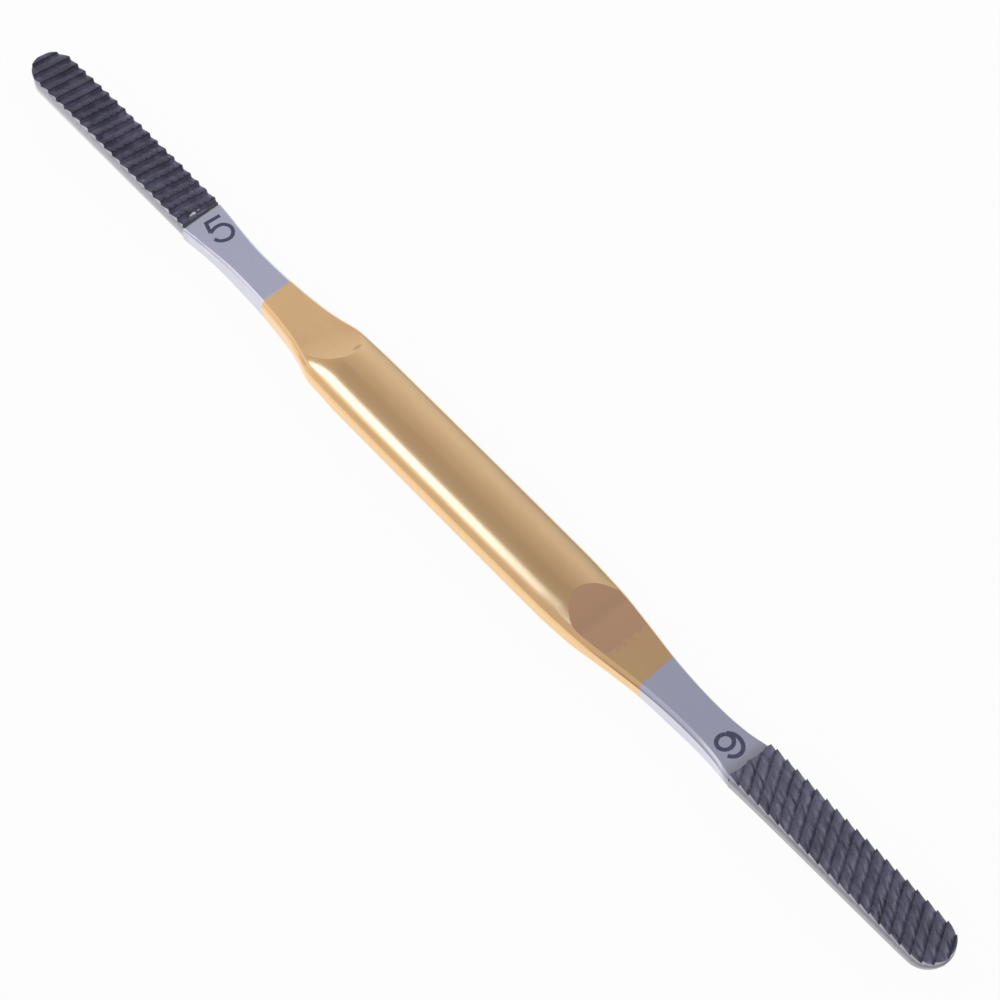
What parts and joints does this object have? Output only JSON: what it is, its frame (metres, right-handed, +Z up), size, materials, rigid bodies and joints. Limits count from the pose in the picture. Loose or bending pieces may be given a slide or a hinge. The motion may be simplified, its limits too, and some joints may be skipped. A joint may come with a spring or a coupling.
{
  "type": "bone file",
  "caption": "Double-ended bone rasp: forged steel body with a gold-plated crowned handle and a toothed carbide plate brazed on the flat blade at each end",
  "frame": {"origin": "middle of the tool's length and width, on the level its handle rests on", "axes": "+X along the tool towards the wider rasp, +Y across it, +Z up from the handle's underside to the teeth"},
  "size_m": [0.2094, 0.011, 0.0068],
  "materials": {
    "file_body": "satin steel, with the middle of the tool gold-plated",
    "rasp_plate": "dark tungsten carbide, cut into rows of teeth and ground bright along its sides"
  },
  "bodies": {
    "root": {"file_body": "file_body", "rasp_plate_5": "rasp_plate", "rasp_plate_6": "rasp_plate"}
  },
  "joints": []
}
